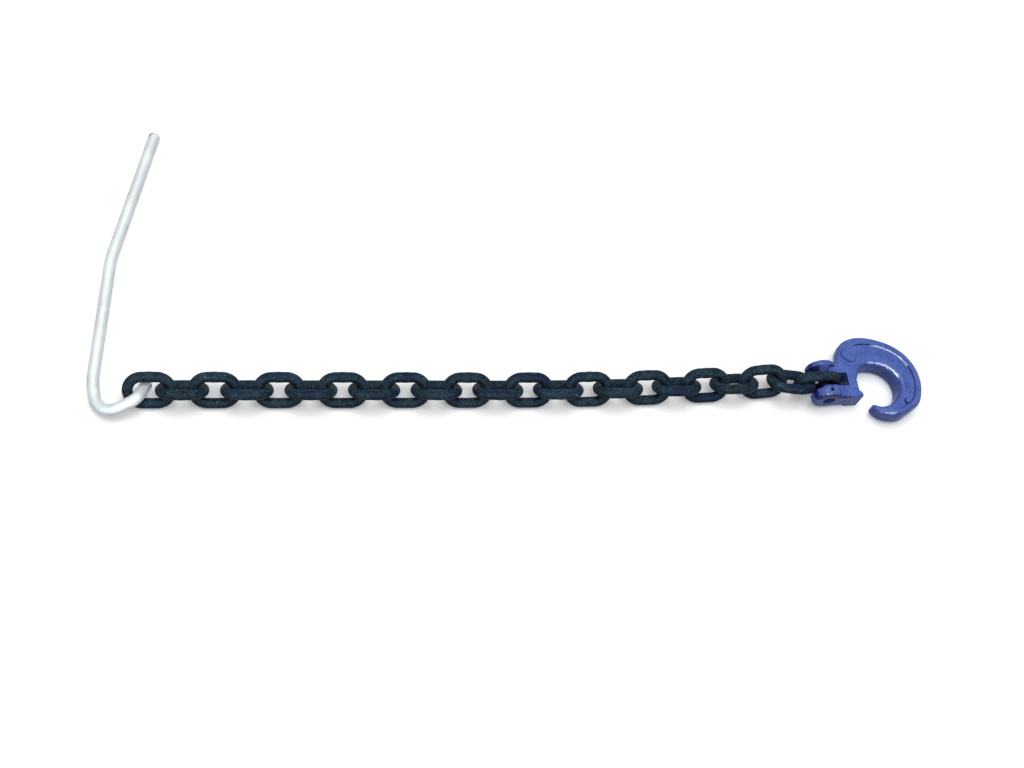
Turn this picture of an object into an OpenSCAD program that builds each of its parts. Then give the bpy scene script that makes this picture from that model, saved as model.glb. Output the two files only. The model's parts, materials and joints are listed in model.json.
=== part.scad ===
// Choker chain for logging: a bent steel needle, 23 short round-steel links and a sliding
// choker hook with a clevis. Drawn lying on the floor as laid out ready for use, with the
// needle at the left, the hook at the right, +X along the chain and +Z up. Millimetres.
//
// Each link is a stadium of round wire. It is placed by a heading over the floor, a climb
// and a roll about its own length, and the next link hooks round its crown, so the chain
// can be bent at any link. The hook body is lofted from sections across its bar.

/* [Chain] */
// Diameter of the round steel of the links
wire_d = 8; // [6:0.5:10]
// Inside length of a link, which is also the pitch
link_in = 24; // [18:0.5:32]
// Inside width of a link
link_w = 12.8; // [10:0.2:18]
// Roll of the links about the chain as they lie on the floor
lay_roll = 45; // [30:1:60]
// Free play between two crowns
play = 0.12; // [0.05:0.01:0.6]
// Height of the weld bead over the wire
weld_h = 0.2; // [0.1:0.05:0.8]
// Length of the weld bead
weld_l = 6.5; // [3:0.5:9]

/* [Bend of the chain as it lies] */
// Last link of the straight run
straight_to = 12; // [1:1:19]
// Turn of each further link
turn_each = 0.42; // [0:0.02:1.5]
// Rolls of the last four links
last_rolls = [138, 49.2, 148, 86]; // [30:0.5:160]
// Climbs of the last four links
last_climbs = [0, 5, 2.5, 0]; // [0:0.1:8]
// Heading of the link next to the last
kink = -8; // [-12:0.5:4]
// Turn of the hook and the last link over the floor
hook_turn = 4; // [0:0.5:12]

/* [Needle] */
// Diameter of the rod
rod_d = 9; // [5:0.5:9.5]
// Length of the outer half of the shank
shank_outer = 120.2; // [60:0.5:200]
// Length of the inner half of the shank
shank_inner = 106.4; // [60:0.5:160]
// Lean of the outer half over the inner half
shank_bend = 9.5; // [0:0.1:30]
// Radius of the bend in the shank
shank_bend_r = 60; // [20:1:120]
// Radius of the hooked end
hook_end_r = 15; // [10:0.5:20]

/* [Choker hook] */
// Thickness of the hook body
body_t = 19; // [14:0.5:24]
// Radius of the bowl
bowl_r = 17.5; // [15:0.1:24]
// Widening of the bowl to its upper left
bowl_wide = 2; // [0:0.1:3]
// Width of the bar at the right of the bowl
bar_w = 19.4; // [14:0.1:24]
// Further width of the bar over the top of the bowl
top_w = 4; // [0:0.1:6]
// Rise of the shoulder at the upper left
shoulder_rise = 6.3; // [3:0.1:9]
// Angle where the hook point ends
point_angle = -116; // [-120:0.5:-95]
// Thickness of the hook point
point_t = 13.5; // [8:0.5:19]
// Rounding of the bar edges
edge_r = 4.4; // [1.5:0.1:6]
// Depth of the dished face
dish = 1.1; // [0.2:0.1:2]
// Width of the rim outside the dished face
rim_w = 4.6; // [3:0.1:7]

/* [Clevis] */
// Diameter of the load pin
pin_d = 10; // [8:0.5:12]
// Radius of the clevis ears
ear_r = 12.2; // [10:0.1:12.6]
// How far the middle of the ears lies before the pin
ear_lead = 1.2; // [0:0.1:2]
// Thickness of each ear
ear_t = 10.3; // [6:0.1:14]
// Width of the slot between the ears
slot_w = 11.4; // [9:0.1:14]
// How far the slot opens out at its mouth, at the front and at the back
mouth_flare = [4.2, 7]; // [3:0.1:8]
// Bevel round the slot side of the front and the back ear
ear_bevel = [2.8, 5.6]; // [1:0.1:6]
// Depth of the slot from the pin
slot_deep = 18.2; // [17.3:0.1:20]
// Running fit of the load pin
pin_fit = 0.08; // [0.02:0.01:0.1]
// Diameter of the spring pin that holds the load pin
spring_d = 3; // [2:0.5:4]

/* [Hidden] */
$fa = 5;
$fs = 0.4;

steel = [0.12, 0.17, 0.2];
zinc = [0.85, 0.87, 0.88];
blue = [0.2, 0.25, 0.62];

last = 23;
wire_r = wire_d / 2;
bow_r = link_w / 2 + wire_r;
half_bar = link_in / 2 - link_w / 2;

// lowest and highest X and Y of everything as it lies, whose middle is the origin
low_corner = [-22.55, -25];
high_corner = [633.93, 233.49];
shift = [-(low_corner[0] + high_corner[0]) / 2, -(low_corner[1] + high_corner[1]) / 2, 0];

// length added to a cutting shape so that it runs past the faces it cuts
past = 1;

function unit(v) = v / norm(v);
function smooth(a, b, x) = let (q = max(0, min(1, (x - a) / (b - a)))) q * q * (3 - 2 * q);
function bump(x, at, wide) = exp(-pow((x - at) / wide, 2));

// Puts its children at p with their axes along x, y and z.
module place(p, x, y, z)
    multmatrix([[x[0], y[0], z[0], p[0]], [x[1], y[1], z[1], p[1]], [x[2], y[2], z[2], p[2]]])
        children();

// Layout of the links: heading, climb and roll of link k, and the place of its centre.
roll_lift = 0.8;
loose_lift = 2.45;
function roll_of(k) = k > last - 4 ? last_rolls[k - last + 3]
    : k % 2 == 1 ? lay_roll : 90 + lay_roll;
function heading_of(k) = k == last ? hook_turn : k == last - 1 ? kink
    : turn_each * max(0, k - straight_to);
function climb_of(k) = k > last - 4 ? last_climbs[k - last + 3] : 0;
// how much shorter than the taut pitch the step from link k to the next one lies
function slack_of(k) = k == last - 2 ? roll_lift : k == last - 1 ? loose_lift : play;
function along(k) = let (h = heading_of(k), p = climb_of(k))
    [cos(h) * cos(p), sin(h) * cos(p), sin(p)];
function left_of(k) = [-sin(heading_of(k)), cos(heading_of(k)), 0];
function across(k) = let (r = roll_of(k))
    left_of(k) * cos(r) + cross(along(k), left_of(k)) * sin(r);
function normal_of(k) = cross(along(k), across(k));
function centre_of(k) = k == 1
    ? [link_in, 0, bow_r * sin(lay_roll) + wire_r]
    : centre_of(k - 1)
        + (along(k - 1) + along(k)) * (link_in / 2 - slack_of(k - 1) / 2);

// The weld bead is a lens turned round one bar of the link.
module weld_bead() {
    lens_r = (weld_l * weld_l / 4 + weld_h * weld_h) / (2 * weld_h);
    rotate([0, 90, 0]) rotate_extrude()
        intersection() {
            translate([wire_r + weld_h - lens_r, 0]) circle(r = lens_r);
            translate([0, -weld_l / 2]) square([wire_r + 2 * weld_h, weld_l]);
        }
}

// Two straight bars and two half turns of round wire, lying in the XY plane.
module link_bare() {
    for (s = [-1, 1]) {
        translate([s * half_bar, 0, 0])
            rotate([0, 0, -90 * s])
                rotate_extrude(angle = 180) translate([bow_r, 0]) circle(r = wire_r);
        translate([-half_bar, s * bow_r, 0])
            rotate([0, 90, 0]) cylinder(r = wire_r, h = 2 * half_bar);
    }
    translate([0, bow_r, 0]) weld_bead();
}

module link(k) translate(shift) color(steel)
    place(centre_of(k), along(k), across(k), normal_of(k)) link_bare();

// Path of the needle: two straight halves on the floor, a turn at the front, a climb over
// the lower bow of the first link and a drop into its opening.
rod_r = rod_d / 2;
foot = [-18.5, 10, rod_r];
foot_r = 60;
inner_way = unit([7.7, 100, 0]);
outer_turn = atan2(inner_way[1], inner_way[0]) - shank_bend;
knee = foot + inner_way * shank_inner;
tip = knee + shank_outer * [cos(outer_turn), sin(outer_turn), 0];
front = [-13.2, -19.3, rod_r + 1];
over_bow = [15.2, -10.1, 16.4];
over_bow_r = 9;
inside_link = [21.8, 7.5, 7.6];
needle_path = [tip, knee, foot, front, over_bow, inside_link];
needle_r = [0, shank_bend_r, foot_r, hook_end_r, over_bow_r, 0];

// The bends are a hair thinner than the straights, which lap into them.
bend_thin = 0.03;
lap = 0.4;
end_chamfer = 1.5;

function turn_at(i) = acos(unit(needle_path[i] - needle_path[i - 1])
    * unit(needle_path[i + 1] - needle_path[i]));
// distance from a corner of the path to where its bend starts
function setback(i) = needle_r[i] == 0 ? 0 : needle_r[i] * tan(turn_at(i) / 2);

module rod_straight(i) {
    a = needle_path[i];
    b = needle_path[i + 1];
    z = unit(b - a);
    x = unit(cross(z, [0.1, 0, 1]));
    from = needle_r[i] == 0 ? 0 : setback(i) - lap;
    to = norm(b - a) - (needle_r[i + 1] == 0 ? 0 : setback(i + 1) - lap);
    c0 = needle_r[i] == 0 ? end_chamfer : 0;
    c1 = needle_r[i + 1] == 0 ? end_chamfer : 0;
    place(a, x, cross(z, x), z) rotate_extrude()
        polygon(concat(
            [[0, from], [rod_r - c0, from]], c0 > 0 ? [[rod_r, from + c0]] : [],
            c1 > 0 ? [[rod_r, to - c1]] : [], [[rod_r - c1, to], [0, to]]));
}

module rod_bend(i) {
    d0 = unit(needle_path[i] - needle_path[i - 1]);
    d1 = unit(needle_path[i + 1] - needle_path[i]);
    inward = unit(d1 - d0 * (d0 * d1));
    start = needle_path[i] - d0 * setback(i);
    place(start + inward * needle_r[i], -inward, d0, cross(-inward, d0))
        rotate_extrude(angle = turn_at(i)) translate([needle_r[i], 0]) circle(r = rod_r - bend_thin);
}

module needle() translate(shift) color(zinc) {
    corners = len(needle_path) - 2;
    for (i = [0 : corners]) rod_straight(i);
    for (i = [1 : corners]) rod_bend(i);
}

// Hook frame: the load pin is at its origin, X runs away from the chain.
pin_r = pin_d / 2;
// how far the pin bears below the middle of the crown, and to the front of it
pin_drop = 0.6;
pin_aside = 0.7;
crown_room = link_w / 2 - pin_r - play;
pin_z = centre_of(last)[2] - pin_drop;
pin_at = centre_of(last) + along(last) * (half_bar + sqrt(crown_room * crown_room - pin_drop * pin_drop));
hook_pos = [pin_at[0], pin_at[1] - pin_aside, 0];
ear_out = slot_w / 2 + ear_t;

module at_hook() translate(shift) translate(hook_pos) rotate([0, 0, hook_turn]) children();

// Inner and outer edge of the bar round the bowl, by the angle t from the bowl centre.
bowl = [43.2, -6.9];
bowl_from = 160;
wide_at = 118;
wide_span = 24;
lip_h = 1.6;
lip_at = -112;
lip_span = 12;
shoulder_at = 116;
shoulder_front = 30;
shoulder_back = 22;
top_from = -15;
taper_from = -31;
taper_each = 0.205;
back_from = 130;
back_each = 0.02;
heel_cut = 1.8;
heel_at = -42;
heel_span = 14;
lean_from = 118;
lean_to = 138;
lean_most = 4;
function bowl_edge(t) = bowl_r + bowl_wide * bump(t, wide_at, wide_span)
    - lip_h * bump(t, lip_at, lip_span);
function back_edge(t) = bowl_r + bar_w + top_w * sin(max(0, t - top_from))
    + shoulder_rise * bump(t, shoulder_at, t < shoulder_at ? shoulder_front : shoulder_back)
    - heel_cut * bump(t, heel_at, heel_span) - taper_each * max(0, taper_from - t)
    - back_each * max(0, t - back_from);

// A station holds the inner point, the outer point, the thickness, the share of dish, the
// rounding of the edges and how far the outer wall leans in toward its foot.
bow_steps = 46;
thin_from = -115;
thin_to = -50;
dish_from = -76;
dish_full = -52;
dish_fade = 104;
dish_end = 134;
nose = [0.6, 0.86, 0.97, 1];
nose_thin = [0.72, 0.9, 0.98, 1];
function bow_station(i) = let (
        t = point_angle + (bowl_from - point_angle) * i / bow_steps,
        u = [cos(t), sin(t)],
        n = min(i, 3),
        inner = bowl + bowl_edge(t) * u,
        outer = bowl + back_edge(t) * u,
        m = (inner + outer) / 2)
    [m + (inner - m) * nose[n], m + (outer - m) * nose[n],
     (point_t + (body_t - point_t) * smooth(thin_from, thin_to, t)) * nose_thin[n],
     smooth(dish_from, dish_full, t) * smooth(dish_end, dish_fade, t),
     edge_r, lean_most * smooth(lean_from, lean_to, t)];

// The neck runs down between the bowl and the slot to the square beak over the throat.
neck_steps = 12;
neck_top = -0.4;
neck_len = 15.4;
neck_x = 26;
neck_back = 15.5;
neck_slant = 5.6;
beak_h = 2.5;
beak_from = -9.5;
beak_full = -13;
knee_h = 1.5;
knee_at = 1;
knee_span = 5;
beak_edge = 1.6;
beak_chamfer = 0.9;
function neck_edge(y) = neck_x + beak_h * smooth(beak_from, beak_full, y)
    + knee_h * bump(y, knee_at, knee_span);
function neck_station(j) = let (
        q = min(j, neck_steps - 1) / (neck_steps - 1),
        cut = j == neck_steps ? beak_chamfer : 0,
        y = neck_top - q * (neck_len - beak_chamfer) - cut)
    [[neck_edge(y) - cut, y], [neck_back + cut, y + neck_slant * (1 - q) * (1 - q)],
     body_t - 2 * cut, 0, edge_r + (beak_edge - edge_r) * smooth(0, 0.5, q),
     lean_most * (1 - q)];
stations = concat([for (i = [0 : bow_steps]) bow_station(i)],
    [for (j = [1 : neck_steps]) neck_station(j)]);

// Section across the bar: w is its width, t its thickness, f how far the faces are dished,
// e the rounding of its edges and lean how far the outer wall comes in toward its foot.
// Points run round from the inner lower corner.
corner_n = 4;
round_most = 0.42;
rim_least = 0.15;
rim_most = 0.35;
wall_w = 0.9;
wall_most = 0.25;
dish_mid = 0.55;
function corner_arc(u, v, r, from) =
    [for (k = [0 : corner_n]) let (a = from + 90 * k / corner_n) [u + r * cos(a), v + r * sin(a)]];
function section(w, t, f, e, lean) = let (
        r = min(e, w * round_most, t * round_most),
        flat = w - 2 * r,
        rim = w - r - min(max(rim_w - r, rim_least * flat), rim_most * flat),
        wall = rim - min(wall_w, wall_most * flat),
        mid = (r + wall) / 2,
        low = (flat - lean) / flat)
    concat(
        corner_arc(r, r, r, 180),
        [for (p = [[mid, dish * f * dish_mid], [wall, dish * f], [rim, 0]]) [r + (p[0] - r) * low, p[1]]],
        corner_arc(w - lean - r, r, r, 270),
        corner_arc(w - r, t - r, r, 0),
        [[rim, t], [wall, t - dish * f], [mid, t - dish * f * dish_mid]],
        corner_arc(r, t - r, r, 90));

// Loft of the whole bar from the point round the bowl, over the shoulder and down the neck.
module hook_bar() {
    m = len(section(bar_w, body_t, 0, edge_r, 0));
    n = len(stations);
    rings = [for (s = stations) let (w = norm(s[1] - s[0]), d = unit(s[1] - s[0]))
        for (p = section(w, s[2], s[3], s[4], s[5]))
            [s[0][0] + d[0] * p[0], s[0][1] + d[1] * p[0], p[1] + (body_t - s[2]) / 2]];
    ends = [for (s = [stations[0], stations[n - 1]]) let (c = (s[0] + s[1]) / 2)
        [c[0], c[1], body_t / 2]];
    polyhedron(concat(rings, ends), concat(
        [for (k = [0 : m - 1]) [n * m, (k + 1) % m, k]],
        [for (k = [0 : m - 1]) [n * m + 1, (n - 1) * m + k, (n - 1) * m + (k + 1) % m]],
        [for (i = [0 : n - 2]) for (k = [0 : m - 1])
            [i * m + k, (i + 1) * m + (k + 1) % m, (i + 1) * m + k]],
        [for (i = [0 : n - 2]) for (k = [0 : m - 1])
            [i * m + k, i * m + (k + 1) % m, (i + 1) * m + (k + 1) % m]]));
}

// An ear is a disc round the pin, bevelled at the slot and rounded off at its outer face.
ear_round = 2.8;
round_step = 22.5;
outer_round = [for (a = [0 : round_step : 90]) [ear_round * (1 - cos(a)), ear_round * (1 - sin(a))]];

module on_pin_axis(from) translate([0, from, pin_z]) rotate([-90, 0, 0]) children();

module ear(side, bevel) translate([-ear_lead, side * slot_w / 2, pin_z]) rotate([-90 * side, 0, 0])
    rotate_extrude() polygon(concat([[0, 0], [ear_r - bevel, 0], [ear_r, bevel]],
        [for (p = outer_round) [ear_r - p[0], ear_t - p[1]]], [[0, ear_t]]));

// An arm joins the ear to the neck: its side outline in X and Z, drawn in from its edges
// where its outer face is rounded off. It stays a little inside the ear's own faces.
arm_sunk = 0.15;
arm_low = pin_z - ear_r + 2 * arm_sunk;
arm_line = [[0, 20], [4.2, 23], [6, 22.15], [8, 20.95], [10, 20.1], [12.4, 19.5], [15.5, 19.15],
    [20, 18.9]];
arm_back = 20;
arm_inner = 1;
function arm_ring(inset, y) = concat(
    [[0, y, arm_low + inset], [arm_back, y, arm_low + inset]],
    [for (i = [len(arm_line) - 1 : -1 : 0]) [arm_line[i][0], y, arm_line[i][1] - inset]]);
module arm() {
    rings = concat([arm_ring(0, arm_inner)],
        [for (p = outer_round) arm_ring(p[0], ear_out - arm_sunk - p[1])]);
    m = len(rings[0]);
    last_ring = len(rings) - 1;
    polyhedron([for (r = rings) for (p = r) p], concat(
        [[for (k = [m - 1 : -1 : 0]) k]],
        [[for (k = [0 : m - 1]) last_ring * m + k]],
        [for (i = [0 : last_ring - 1]) for (k = [0 : m - 1])
            [i * m + k, i * m + (k + 1) % m, (i + 1) * m + (k + 1) % m, (i + 1) * m + k]]));
}

// forged oval pad on the shoulder and round pip at the back of the bow, both left plain
pad_at = [23, 20];
pad_turn = -38;
pip_at = [64.2, -22.4];
pip_r = 2.6;
pip_top = 1.9;
pip_h = 0.7;
pad_half = 2.6;
pad_r = 3.6;
pad_h = 0.4;
pad_sunk = 0.6;
module oval_pad() {
    for (s = [-1, 1]) translate([s * pad_half, 0, 0]) cylinder(r = pad_r, h = pad_sunk + pad_h);
    translate([-pad_half, -pad_r, 0]) cube([2 * pad_half, 2 * pad_r, pad_sunk + pad_h]);
}

mouth_from = -4.5;
mouth_to = -ear_r - ear_lead - past;
spring_fit = 0.04;
spring_y = -slot_w / 2 - ear_t / 2;
pin_recess = 3;
pin_chamfer = 0.7;

module hook_body() at_hook() color(blue) difference() {
    union() {
        hook_bar();
        ear(-1, ear_bevel[0]);
        ear(1, ear_bevel[1]);
        arm();
        mirror([0, 1, 0]) arm();
        translate([pad_at[0], pad_at[1], body_t - pad_sunk]) rotate([0, 0, pad_turn]) oval_pad();
        translate([pip_at[0], pip_at[1], body_t - pad_sunk])
            cylinder(r1 = pip_r, r2 = pip_top, h = pad_sunk + pip_h);
    }
    // slot for the last link
    translate([-ear_r - ear_lead - past, -slot_w / 2, -past])
        cube([ear_r + ear_lead + past + slot_deep, slot_w, 2 * body_t]);
    // mouth of the slot, opening out toward the chain
    translate([0, 0, -past]) linear_extrude(height = 2 * body_t) polygon([
        [mouth_from, -slot_w / 2], [mouth_to, -slot_w / 2 - mouth_flare[0]],
        [mouth_to, slot_w / 2 + mouth_flare[1]], [mouth_from, slot_w / 2]]);
    // load pin bore, right through both ears
    on_pin_axis(-ear_out - past) cylinder(r = pin_r + pin_fit, h = 2 * (ear_out + past));
    // spring pin bore across the front ear
    translate([0, spring_y, pin_z - ear_r - past])
        cylinder(r = spring_d / 2 + spring_fit, h = 2 * (ear_r + past));
}

pin_len = 2 * (ear_out - pin_recess);
module load_pin() at_hook() color(steel) difference() {
    on_pin_axis(-pin_len / 2) rotate_extrude() polygon([[0, 0], [pin_r - pin_chamfer, 0],
        [pin_r, pin_chamfer], [pin_r, pin_len - pin_chamfer], [pin_r - pin_chamfer, pin_len],
        [0, pin_len]]);
    translate([0, spring_y, pin_z - pin_r - past])
        cylinder(r = spring_d / 2 + spring_fit, h = 2 * (pin_r + past));
}

// Spring pin, a slotted tube.
spring_wall = 0.6;
spring_sunk = 1.4;
spring_len = 2 * (ear_r - spring_sunk);
module spring_pin() at_hook() color(zinc) translate([0, spring_y, pin_z - spring_len / 2])
    difference() {
        cylinder(r = spring_d / 2, h = spring_len);
        translate([0, 0, -past]) cylinder(r = spring_d / 2 - spring_wall, h = spring_len + 2 * past);
        translate([0, -spring_wall / 2, -past]) cube([spring_d, spring_wall, spring_len + 2 * past]);
    }

needle();
link(1);  // link_01
link(2);  // link_02
link(3);  // link_03
link(4);  // link_04
link(5);  // link_05
link(6);  // link_06
link(7);  // link_07
link(8);  // link_08
link(9);  // link_09
link(10);  // link_10
link(11);  // link_11
link(12);  // link_12
link(13);  // link_13
link(14);  // link_14
link(15);  // link_15
link(16);  // link_16
link(17);  // link_17
link(18);  // link_18
link(19);  // link_19
link(20);  // link_20
link(21);  // link_21
link(22);  // link_22
link(23);  // link_23
hook_body();
load_pin();
spring_pin();
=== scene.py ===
"""Logging choker chain: materials, floor, light and camera around the CAD frame. Metres."""
import json
import math

import bpy
from mathutils import Matrix, Vector

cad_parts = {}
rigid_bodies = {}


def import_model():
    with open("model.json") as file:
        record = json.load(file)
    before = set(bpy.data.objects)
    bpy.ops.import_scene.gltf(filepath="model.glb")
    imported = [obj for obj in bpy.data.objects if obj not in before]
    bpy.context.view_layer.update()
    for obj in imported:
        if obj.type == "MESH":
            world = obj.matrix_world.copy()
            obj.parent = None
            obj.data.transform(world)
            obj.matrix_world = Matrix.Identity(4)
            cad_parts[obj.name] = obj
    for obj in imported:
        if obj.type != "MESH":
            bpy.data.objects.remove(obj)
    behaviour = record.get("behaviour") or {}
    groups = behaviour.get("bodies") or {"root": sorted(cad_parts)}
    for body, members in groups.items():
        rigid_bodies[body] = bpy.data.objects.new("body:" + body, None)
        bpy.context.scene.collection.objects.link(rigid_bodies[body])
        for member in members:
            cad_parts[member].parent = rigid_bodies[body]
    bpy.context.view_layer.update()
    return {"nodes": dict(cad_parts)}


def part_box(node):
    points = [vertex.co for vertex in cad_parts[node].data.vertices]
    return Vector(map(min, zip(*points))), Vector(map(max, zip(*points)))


MM = 0.001
LINK_COUNT = 23
WHITE = (1.0, 1.0, 1.0, 1.0)

# Camera: where it looks, how far away it stands and how it is turned.
CAMERA_TARGET = Vector((-5.51, -93.66, 0.0)) * MM
CAMERA_DISTANCE = 1.1068
CAMERA_AZIMUTH = math.radians(20.76)
CAMERA_ELEVATION = math.radians(63.57)
CAMERA_ROLL = math.radians(18.8)
CAMERA_FIELD = math.radians(40.0)

# Light: an even white room and a broad light overhead.
ROOM_STRENGTH = 0.32
TOP_AT = Vector((0.1, 0.25, 2.4))
TOP_SIZE = 1.8
TOP_POWER = 43.0
# Rings of small panels round the hook that diffuse surfaces don't see, so that they show as
# highlights only. Each ring has its distance from the hook, the size and power of a panel,
# and the way to each panel: degrees from the front toward the left, and above the floor.
RINGS_ROUND = Vector((0.30, -0.09, 0.018))
COOL = (0.70, 0.84, 1.0)
RINGS = {
    "low_ring": (2.4, (0.64, 0.12), 12.0, (
        (-3.0, 18.5), (11.0, 20.8), (25.0, 22.6), (39.0, 23.5), (53.0, 23.4), (66.0, 22.7))),
    "high_ring": (2.0, (0.52, 0.12), 13.0, (
        (-32.0, 43.0), (-18.0, 48.5), (2.0, 53.0), (22.0, 56.0), (42.0, 57.0), (62.0, 56.5),
        (80.0, 54.5))),
    "tip_ring": (2.2, (0.60, 0.12), 11.0, ((-12.0, 40.0), (8.0, 43.0), (30.0, 44.5))),
}

# The floor: pale to the camera and in reflections, and less bright where it lights the part.
# It glows by FLOOR_LIFT, which rises to full white over the distances FLOOR_FAR.
FLOOR_SIZE = 12.0
FLOOR_SEEN = (0.95, 0.95, 0.95, 1.0)
FLOOR_BOUNCE = (0.32, 0.32, 0.33, 1.0)
FLOOR_LIFT = 0.25
FLOOR_FAR = (0.5, 2.6)
FLOOR_ROUGHNESS = 0.9
FLOOR_SPECULAR = 0.1

# The hook lies turned a little over the floor, about its load pin.
HOOK_TURN = math.radians(4.0)
# Shapes on the hook round which a line of painted shade is drawn: place in millimetres, turn in
# degrees, half length and radius. The constant after them is half the width of that line.
PAINTED_SHADE_ROUND = (
    ((23.0, 20.0, 19.2), -38.0, 2.6 * MM, 3.7 * MM),
    ((64.2, -22.4, 19.5), 0.0, 0.0, 2.6 * MM),
)
PAINTED_SHADE_LINE = 0.6 * MM
# The rim's step, darkened as painted shade: how level its faces are, and the height it starts
# at.
RIM_LEVEL = (0.60, 0.70)
RIM_HEIGHT = (17.2 * MM, 17.6 * MM)

# Noise scales, and ranges of a noise value: where a feature starts and is full. What follows
# a range in a ramp is the strength that the feature starts and ends with.
PATCH_DETAIL = 5.0
GRAIN_DETAIL = 2.0
GRAIN_IN_HEIGHT = 0.5
RAGGED_SCALE = 700.0
RAGGED_DETAIL = 4.0
RAGGED_ROUGHNESS = 0.55
SHOWN = (0.0, 1.0)

# Links: blue-black scale.
SCALE_DARK = (0.0032, 0.0088, 0.0150, 1.0)
SCALE_LIGHT = (0.0175, 0.0385, 0.0600, 1.0)
SCALE_GRAIN = (0.0450, 0.0760, 0.1000, 1.0)
SCALE_TEMPER = (0.0075, 0.0120, 0.0440, 1.0)
SCALE_FLECK = (0.090, 0.150, 0.180, 1.0)
RUBBED = (0.026, 0.046, 0.065, 1.0)
RUBBED_REACH = 8.0 * MM
SCALE_SHEEN = (0.60, 0.82, 1.0, 1.0)
SCALE_SPOTS = {"Patch_Scale": 170.0, "Grain_Scale": 1100.0}
SCALE_CLOUDS = {"Patch_Scale": 38.0, "Grain_Scale": 520.0}
SCALE_PATCHES = (0.38, 0.66)
SCALE_GRAINS = (0.44, 0.66)
SCALE_GRAINS_SHOWN = (0.0, 0.7)
SCALE_TEMPERED = (0.48, 0.66)
SCALE_TEMPER_SHOWN = (0.0, 0.8)
SCALE_FLECKS = (0.665, 0.715)
SCALE_ROUGHNESS = (0.42, 0.58)
SCALE_SPECULAR = 0.05
SCALE_BUMP = 0.25 * MM

# Needle: dull galvanising.
ZINC_DARK = (0.60, 0.62, 0.62, 1.0)
ZINC_LIGHT = (0.68, 0.72, 0.71, 1.0)
ZINC_CUT = (0.20, 0.21, 0.22, 1.0)
ZINC_SPOTS = {"Patch_Scale": 70.0, "Grain_Scale": 800.0}
ZINC_CLOUDS = (0.35, 0.65)
ZINC_SAWN_REACH = 7.0 * MM
ZINC_SAWN = (0.02, 0.22)
ZINC_ROUGHNESS = (0.50, 0.62)
ZINC_METALLIC = 0.30
ZINC_SPECULAR = 0.30
ZINC_BUMP = 0.04 * MM

# Hook: blue enamel.
PAINT_DARK = (0.056, 0.098, 0.375, 1.0)
PAINT_LIGHT = (0.086, 0.146, 0.470, 1.0)
# Painted shade, for the creases round the pad and the pip and along the rim's step.
PAINT_PAINTED_SHADE = (0.014, 0.020, 0.150, 1.0)
PAINT_GRAIN = (0.110, 0.190, 0.520, 1.0)
PAINT_SPOTS = {"Patch_Scale": 90.0, "Grain_Scale": 600.0}
PAINT_PATCHES = (0.35, 0.68)
PAINT_GRAINS = (0.42, 0.68)
PAINT_GRAINS_SHOWN = (0.0, 0.6)
PAINT_ROUGHNESS = (0.30, 0.42)
PAINT_SPECULAR = 0.02
PAINT_COAT = 0.25
PAINT_COAT_ROUGHNESS = 0.04
PAINT_BUMP = 0.08 * MM
PAINT_BUMP_STRENGTH = 0.5

# Pins: blackened steel, and the load pin's navy end darkened by painted shade of its deep bore.
LOAD_PIN_PAINT_AND_SHADE_DARK = (0.004, 0.006, 0.020, 1.0)
LOAD_PIN_PAINT_AND_SHADE_LIGHT = (0.010, 0.014, 0.045, 1.0)
SPRING_DARK = (0.018, 0.020, 0.024, 1.0)
SPRING_LIGHT = (0.050, 0.054, 0.060, 1.0)
PIN_SPOTS = {"Patch_Scale": 160.0, "Grain_Scale": 1500.0}
PIN_PATCHES = (0.35, 0.65)
PIN_ROUGHNESS = (0.44, 0.58)
PIN_SPECULAR = 0.02
PIN_BUMP = 0.03 * MM

# The part of a noise value over which every material's roughness changes.
ROUGHNESS_OVER = (0.3, 0.7)


def clear_scene():
    for piece in list(bpy.data.objects):
        bpy.data.objects.remove(piece)


def link_name(number):
    return "link_%02d" % number


def middle(node):
    low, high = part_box(node)
    return (low + high) / 2


def along_hook(turn):
    angle = HOOK_TURN + math.radians(turn)
    return Vector((math.cos(angle), math.sin(angle), 0.0))


def at_hook(across, back, up):
    """A place given in millimetres from the load pin, along the hook's own directions."""
    pin = middle("load_pin")
    start = Vector((pin.x, pin.y, 0.0))
    offset = along_hook(0.0) * across + along_hook(90.0) * back + Vector((0.0, 0.0, up))
    return start + offset * MM


# Small helpers for node trees.
def add(tree, kind, **settings):
    made = tree.nodes.new(kind)
    for name, value in settings.items():
        setattr(made, name, value)
    return made


def join(tree, source, target):
    tree.links.new(source, target)


def feed(tree, socket, value):
    """Sets a socket to a constant, or joins it to another node's output."""
    if isinstance(value, bpy.types.NodeSocket):
        join(tree, value, socket)
    else:
        socket.default_value = value


def object_place(tree):
    return add(tree, "ShaderNodeTexCoord").outputs["Object"]


def math_node(tree, operation, *values, clamp=False):
    made = add(tree, "ShaderNodeMath", operation=operation, use_clamp=clamp)
    for socket, value in zip(made.inputs, values):
        feed(tree, socket, value)
    return made.outputs[0]


def vector_node(tree, operation, *values):
    made = add(tree, "ShaderNodeVectorMath", operation=operation)
    for socket, value in zip(made.inputs, values):
        feed(tree, socket, value)
    return made


def height_of(tree, vector):
    made = add(tree, "ShaderNodeSeparateXYZ")
    join(tree, vector, made.inputs[0])
    return made.outputs["Z"]


def noise(tree, vector, scale, detail, **others):
    made = add(tree, "ShaderNodeTexNoise")
    feed(tree, made.inputs["Vector"], vector)
    feed(tree, made.inputs["Scale"], scale)
    feed(tree, made.inputs["Detail"], detail)
    for name, value in others.items():
        feed(tree, made.inputs[name], value)
    return made.outputs["Fac"]


def ramp(tree, factor, low, high, first, last):
    """A ramp from first to last while factor goes from low to high."""
    made = add(tree, "ShaderNodeMapRange", data_type="FLOAT", interpolation_type="SMOOTHSTEP")
    join(tree, factor, made.inputs["Value"])
    ends = {"From Min": low, "From Max": high, "To Min": first, "To Max": last}
    for name, value in ends.items():
        made.inputs[name].default_value = value
    return made.outputs["Result"]


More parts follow.
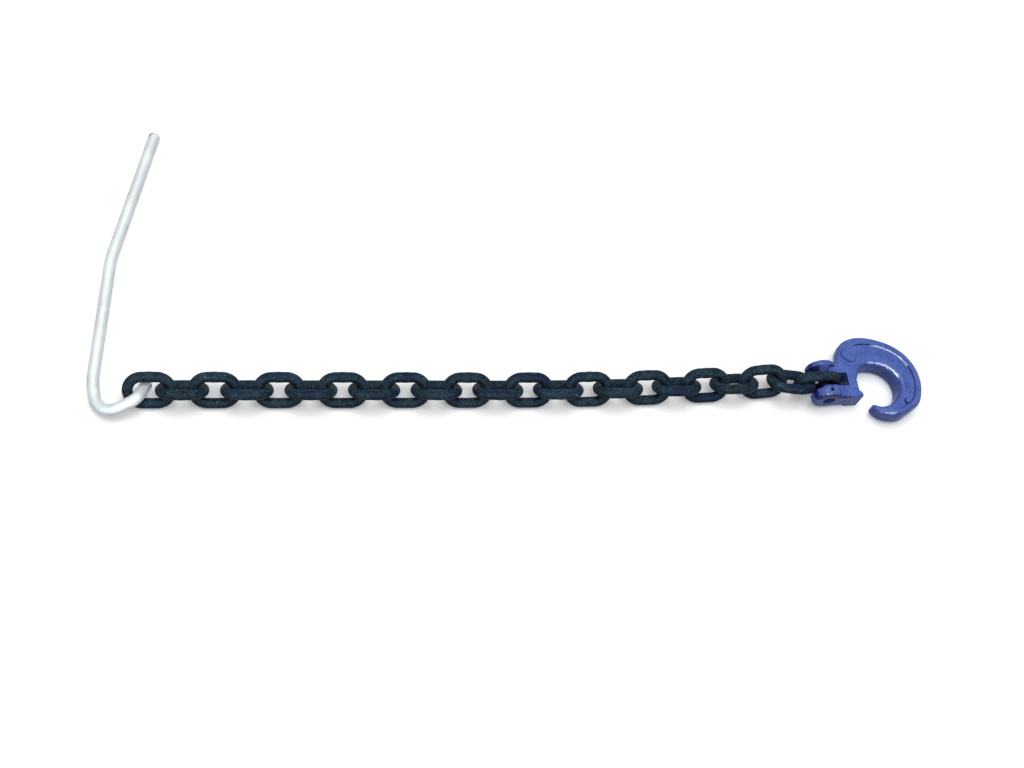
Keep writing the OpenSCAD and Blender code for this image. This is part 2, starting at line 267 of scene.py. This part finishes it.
def mix_colour(tree, factor, first, second):
    made = add(tree, "ShaderNodeMix", data_type="RGBA")
    for name, value in {"Factor": factor, "A": first, "B": second}.items():
        feed(tree, [s for s in made.inputs if s.name == name and s.enabled][0], value)
    return [s for s in made.outputs if s.enabled][0]


def new_group(name, inputs, outputs):
    """A node group with float outputs and with inputs of the kinds given."""
    group = bpy.data.node_groups.new(name, "ShaderNodeTree")
    for label, kind in inputs.items():
        group.interface.new_socket(label, in_out="INPUT", socket_type="NodeSocket" + kind)
    for label in outputs:
        group.interface.new_socket(label, in_out="OUTPUT", socket_type="NodeSocketFloat")
    return group, add(group, "NodeGroupInput").outputs, add(group, "NodeGroupOutput").inputs


def use_group(tree, group, **values):
    made = add(tree, "ShaderNodeGroup", node_tree=group)
    for label, value in values.items():
        made.inputs[label.replace("_", " ")].default_value = value
    return made.outputs


def mottle_group():
    """Uneven patches and fine grains: one slow noise, one fast one, and their bump height."""
    group, given, out = new_group(
        "mottle",
        {"Patch Scale": "Float", "Grain Scale": "Float"},
        ("Patch", "Grain", "Height"),
    )
    where = object_place(group)
    patch = noise(group, where, given["Patch Scale"], PATCH_DETAIL)
    grain = noise(group, where, given["Grain Scale"], GRAIN_DETAIL)
    join(group, patch, out["Patch"])
    join(group, grain, out["Grain"])
    less = math_node(group, "MULTIPLY", grain, GRAIN_IN_HEIGHT)
    join(group, math_node(group, "ADD", patch, less), out["Height"])
    return group


def rub_group():
    """A ragged spot where something rubs: strongest at Point, fading out at Reach."""
    group, given, out = new_group("rub", {"Point": "Vector", "Reach": "Float"}, ("Rub",))
    where = object_place(group)
    apart = vector_node(group, "DISTANCE", where, given["Point"]).outputs["Value"]
    share = math_node(group, "DIVIDE", apart, given["Reach"])
    near = math_node(group, "SUBTRACT", 1.0, share, clamp=True)
    ragged = noise(group, where, RAGGED_SCALE, RAGGED_DETAIL, Roughness=RAGGED_ROUGHNESS)
    join(group, math_node(group, "MULTIPLY", near, ragged), out["Rub"])
    return group


def outline_group():
    """A thin line round a straight slot shape that lies flat: 1 on the line, 0 beside it."""
    group, given, out = new_group(
        "outline",
        {"Middle": "Vector", "Along": "Vector", "Half Length": "Float", "Radius": "Float",
         "Line": "Float"},
        ("Mask",),
    )
    along, half = given["Along"], given["Half Length"]
    off = vector_node(group, "SUBTRACT", object_place(group), given["Middle"]).outputs[0]
    length = vector_node(group, "DOT_PRODUCT", off, along).outputs["Value"]
    held = math_node(group, "MINIMUM", length, half)
    held = math_node(group, "MAXIMUM", held, math_node(group, "MULTIPLY", half, -1.0))
    nearest = vector_node(group, "SCALE", along)
    join(group, held, nearest.inputs["Scale"])
    apart = vector_node(group, "DISTANCE", off, nearest.outputs[0]).outputs["Value"]
    beside = math_node(group, "SUBTRACT", apart, given["Radius"])
    share = math_node(group, "DIVIDE", math_node(group, "ABSOLUTE", beside), given["Line"])
    join(group, math_node(group, "SUBTRACT", 1.0, share, clamp=True), out["Mask"])
    return group


def new_material(name):
    made = bpy.data.materials.new(name)
    made.use_nodes = True
    tree = made.node_tree
    tree.nodes.clear()
    shader = add(tree, "ShaderNodeBsdfPrincipled")
    join(tree, shader.outputs["BSDF"], add(tree, "ShaderNodeOutputMaterial").inputs["Surface"])
    return made, tree, shader


def finish_surface(tree, shader, settings, bump_depth, height, bump_strength=1.0):
    """Feeds the shader's inputs, and adds a bump of the depth given."""
    for name, value in settings.items():
        feed(tree, shader.inputs[name], value)
    bump = add(tree, "ShaderNodeBump")
    bump.inputs["Distance"].default_value = bump_depth
    bump.inputs["Strength"].default_value = bump_strength
    join(tree, height, bump.inputs["Height"])
    join(tree, bump.outputs["Normal"], shader.inputs["Normal"])


def link_material(name, mottle, rub, contacts):
    """Blue-black scale on tempered steel, with pale flecks and rubbed crowns."""
    made, tree, shader = new_material(name)
    spots = use_group(tree, mottle, **SCALE_SPOTS)
    clouds = use_group(tree, mottle, **SCALE_CLOUDS)
    patches = ramp(tree, spots["Patch"], *SCALE_PATCHES, *SHOWN)
    base = mix_colour(tree, patches, SCALE_DARK, SCALE_LIGHT)
    grains = ramp(tree, spots["Grain"], *SCALE_GRAINS, *SCALE_GRAINS_SHOWN)
    base = mix_colour(tree, grains, base, SCALE_GRAIN)
    tempered = ramp(tree, clouds["Patch"], *SCALE_TEMPERED, *SCALE_TEMPER_SHOWN)
    base = mix_colour(tree, tempered, base, SCALE_TEMPER)
    flecks = ramp(tree, clouds["Grain"], *SCALE_FLECKS, *SHOWN)
    base = mix_colour(tree, flecks, base, SCALE_FLECK)
    worn = 0.0
    for contact in contacts:
        spot = use_group(tree, rub, Point=contact, Reach=RUBBED_REACH)
        worn = math_node(tree, "MAXIMUM", worn, spot["Rub"])
    finish_surface(tree, shader, {
        "Base Color": mix_colour(tree, worn, base, RUBBED),
        "Roughness": ramp(tree, spots["Patch"], *ROUGHNESS_OVER, *SCALE_ROUGHNESS),
        "Specular IOR Level": SCALE_SPECULAR,
        "Specular Tint": SCALE_SHEEN,
    }, SCALE_BUMP, spots["Height"])
    return made


def zinc_material(mottle, rub, cut_end):
    """Dull galvanised steel: faint clouding, and a darker sawn end."""
    made, tree, shader = new_material("zinc")
    spots = use_group(tree, mottle, **ZINC_SPOTS)
    base = mix_colour(
        tree, ramp(tree, spots["Patch"], *ZINC_CLOUDS, *SHOWN), ZINC_DARK, ZINC_LIGHT)
    sawn = use_group(tree, rub, Point=cut_end, Reach=ZINC_SAWN_REACH)["Rub"]
    finish_surface(tree, shader, {
        "Base Color": mix_colour(tree, ramp(tree, sawn, *ZINC_SAWN, *SHOWN), base, ZINC_CUT),
        "Roughness": ramp(tree, spots["Grain"], *ROUGHNESS_OVER, *ZINC_ROUGHNESS),
        "Metallic": ZINC_METALLIC,
        "Specular IOR Level": ZINC_SPECULAR,
    }, ZINC_BUMP, spots["Height"])
    return made


def painted_shade_mask(tree, outline):
    """Painted shade: a dark line round the pad and the pip, and along the step of the rim."""
    normal = add(tree, "ShaderNodeNewGeometry").outputs["True Normal"]
    steep = ramp(tree, height_of(tree, normal), *RIM_LEVEL, 1.0, 0.0)
    high = ramp(tree, height_of(tree, object_place(tree)), *RIM_HEIGHT, *SHOWN)
    mask = math_node(tree, "MULTIPLY", steep, high)
    for place, turn, half, radius in PAINTED_SHADE_ROUND:
        ring = use_group(tree, outline, Middle=at_hook(*place), Along=along_hook(turn),
                         Half_Length=half, Radius=radius, Line=PAINTED_SHADE_LINE)
        mask = math_node(tree, "MAXIMUM", mask, ring["Mask"])
    return mask


def paint_material(mottle, outline):
    """Glossy blue enamel over a forging, showing the grain below, with painted shade in its
    creases.
    """
    made, tree, shader = new_material("blue_paint")
    spots = use_group(tree, mottle, **PAINT_SPOTS)
    patches = ramp(tree, spots["Patch"], *PAINT_PATCHES, *SHOWN)
    base = mix_colour(tree, patches, PAINT_DARK, PAINT_LIGHT)
    grains = ramp(tree, spots["Grain"], *PAINT_GRAINS, *PAINT_GRAINS_SHOWN)
    base = mix_colour(tree, grains, base, PAINT_GRAIN)
    # The base colour darkens to painted shade in the creases of the rim, the pad and the pip.
    finish_surface(tree, shader, {
        "Base Color": mix_colour(tree, painted_shade_mask(tree, outline), base, PAINT_PAINTED_SHADE),
        "Roughness": ramp(tree, spots["Grain"], *ROUGHNESS_OVER, *PAINT_ROUGHNESS),
        "Specular IOR Level": PAINT_SPECULAR,
        "Coat Weight": PAINT_COAT,
        "Coat Roughness": PAINT_COAT_ROUGHNESS,
    }, PAINT_BUMP, spots["Height"], PAINT_BUMP_STRENGTH)
    return made


def pin_material(name, mottle, dark, light):
    """Dark steel pins in the colours given; the load pin's are navy paint and painted shade."""
    made, tree, shader = new_material(name)
    spots = use_group(tree, mottle, **PIN_SPOTS)
    patches = ramp(tree, spots["Patch"], *PIN_PATCHES, *SHOWN)
    finish_surface(tree, shader, {
        "Base Color": mix_colour(tree, patches, dark, light),
        "Roughness": ramp(tree, spots["Grain"], *ROUGHNESS_OVER, *PIN_ROUGHNESS),
        "Specular IOR Level": PIN_SPECULAR,
    }, PIN_BUMP, spots["Height"])
    return made


def dress(node, material):
    """Gives every slot of a mesh object the material."""
    slots = node.data.materials
    if not slots:
        slots.append(material)
    for number in range(len(slots)):
        slots[number] = material
    for slot in node.material_slots:
        slot.material = material


def needle_tip(needle):
    """The far end of the needle: the vertex that lies furthest back."""
    return max((vertex.co.copy() for vertex in needle.data.vertices), key=lambda place: place.y)


def dress_all(nodes):
    mottle, rub, outline = mottle_group(), rub_group(), outline_group()
    names = [link_name(k) for k in range(1, LINK_COUNT + 1)]
    centres = [middle(name) for name in names]
    for number, name in enumerate(names):
        near = [centres[n] for n in (number - 1, number + 1) if 0 <= n < LINK_COUNT]
        contacts = [(centres[number] + other) / 2 for other in near]
        dress(nodes[name], link_material(name + "_steel", mottle, rub, contacts))
    dress(nodes["needle"], zinc_material(mottle, rub, needle_tip(nodes["needle"])))
    dress(nodes["hook_body"], paint_material(mottle, outline))
    for name, dark, light in (
            # The load pin's end: navy paint, darkened to near black as painted shade of its
            # deep bore.
            ("load_pin", LOAD_PIN_PAINT_AND_SHADE_DARK, LOAD_PIN_PAINT_AND_SHADE_LIGHT), ("spring_pin", SPRING_DARK, SPRING_LIGHT)):
        dress(nodes[name], pin_material(name + "_steel", mottle, dark, light))


def seen_directly(tree):
    """1 for rays from the camera and for those that come back off metal or through glass."""
    path = add(tree, "ShaderNodeLightPath").outputs
    both = math_node(tree, "MAXIMUM", path["Is Camera Ray"], path["Is Glossy Ray"])
    return math_node(tree, "MAXIMUM", both, path["Is Transmission Ray"])


def make_floor():
    bpy.ops.mesh.primitive_plane_add(size=FLOOR_SIZE, location=(0.0, 0.0, 0.0))
    floor = bpy.context.object
    floor.name = "floor"
    made, tree, shader = new_material("floor_white")
    seen = seen_directly(tree)
    away = vector_node(tree, "LENGTH", object_place(tree)).outputs["Value"]
    lift = ramp(tree, away, *FLOOR_FAR, FLOOR_LIFT, 1.0)
    settings = {
        "Base Color": mix_colour(tree, seen, FLOOR_BOUNCE, FLOOR_SEEN),
        "Roughness": FLOOR_ROUGHNESS,
        "Specular IOR Level": FLOOR_SPECULAR,
        "Emission Color": WHITE,
        "Emission Strength": math_node(tree, "MULTIPLY", seen, lift),
    }
    for name, value in settings.items():
        feed(tree, shader.inputs[name], value)
    dress(floor, made)


def make_room():
    """A world that lights evenly, and that the camera and reflections see as white."""
    world = bpy.data.worlds.new("room")
    world.use_nodes = True
    tree = world.node_tree
    tree.nodes.clear()
    room, seen = (add(tree, "ShaderNodeBackground") for _ in range(2))
    for background, strength in ((room, ROOM_STRENGTH), (seen, 1.0)):
        background.inputs["Color"].default_value = WHITE
        background.inputs["Strength"].default_value = strength
    chosen = add(tree, "ShaderNodeMixShader")
    sources = (seen_directly(tree), room.outputs[0], seen.outputs[0])
    for socket, source in zip(chosen.inputs, sources):
        join(tree, source, socket)
    join(tree, chosen.outputs[0], add(tree, "ShaderNodeOutputWorld").inputs["Surface"])
    bpy.context.scene.world = world


def make_light(name, place, faces, size, power):
    """An area light that looks at a point, its long side level."""
    data = bpy.data.lights.new(name, "AREA")
    data.shape = "RECTANGLE"
    data.size, data.size_y = size
    data.energy = power
    light = bpy.data.objects.new(name, data)
    light.location = place
    light.rotation_euler = (faces - place).to_track_quat("-Z", "Y").to_euler()
    bpy.context.scene.collection.objects.link(light)
    return light


def make_rings():
    for name, (distance, size, power, ways) in RINGS.items():
        for number, way in enumerate(ways):
            turn, rise = (math.radians(angle) for angle in way)
            level = math.cos(rise)
            toward = Vector((-math.sin(turn) * level, -math.cos(turn) * level, math.sin(rise)))
            place = RINGS_ROUND + toward * distance
            panel = make_light("%s_%d" % (name, number), place, RINGS_ROUND, size, power)
            panel.data.color = COOL
            panel.visible_diffuse = False


def make_camera():
    """Stands the camera off the target and rolls it about its own line of sight."""
    flat = math.cos(CAMERA_ELEVATION)
    sight = Vector((
        math.sin(CAMERA_AZIMUTH) * flat,
        math.cos(CAMERA_AZIMUTH) * flat,
        -math.sin(CAMERA_ELEVATION),
    ))
    level = Vector((math.cos(CAMERA_AZIMUTH), -math.sin(CAMERA_AZIMUTH), 0.0))
    rise = level.cross(sight)
    right = level * math.cos(CAMERA_ROLL) + rise * math.sin(CAMERA_ROLL)
    up = rise * math.cos(CAMERA_ROLL) - level * math.sin(CAMERA_ROLL)
    data = bpy.data.cameras.new("camera")
    data.angle = CAMERA_FIELD
    camera = bpy.data.objects.new("camera", data)
    turned = Matrix((right, up, -sight)).transposed().to_4x4()
    camera.matrix_world = Matrix.Translation(CAMERA_TARGET - sight * CAMERA_DISTANCE) @ turned
    bpy.context.scene.collection.objects.link(camera)
    bpy.context.scene.camera = camera


clear_scene()
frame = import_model()
make_camera()
make_room()
make_floor()
make_light("top_light", TOP_AT, Vector(), (TOP_SIZE, TOP_SIZE), TOP_POWER)
make_rings()
dress_all(frame["nodes"])
bpy.context.scene.view_settings.view_transform = "Standard"
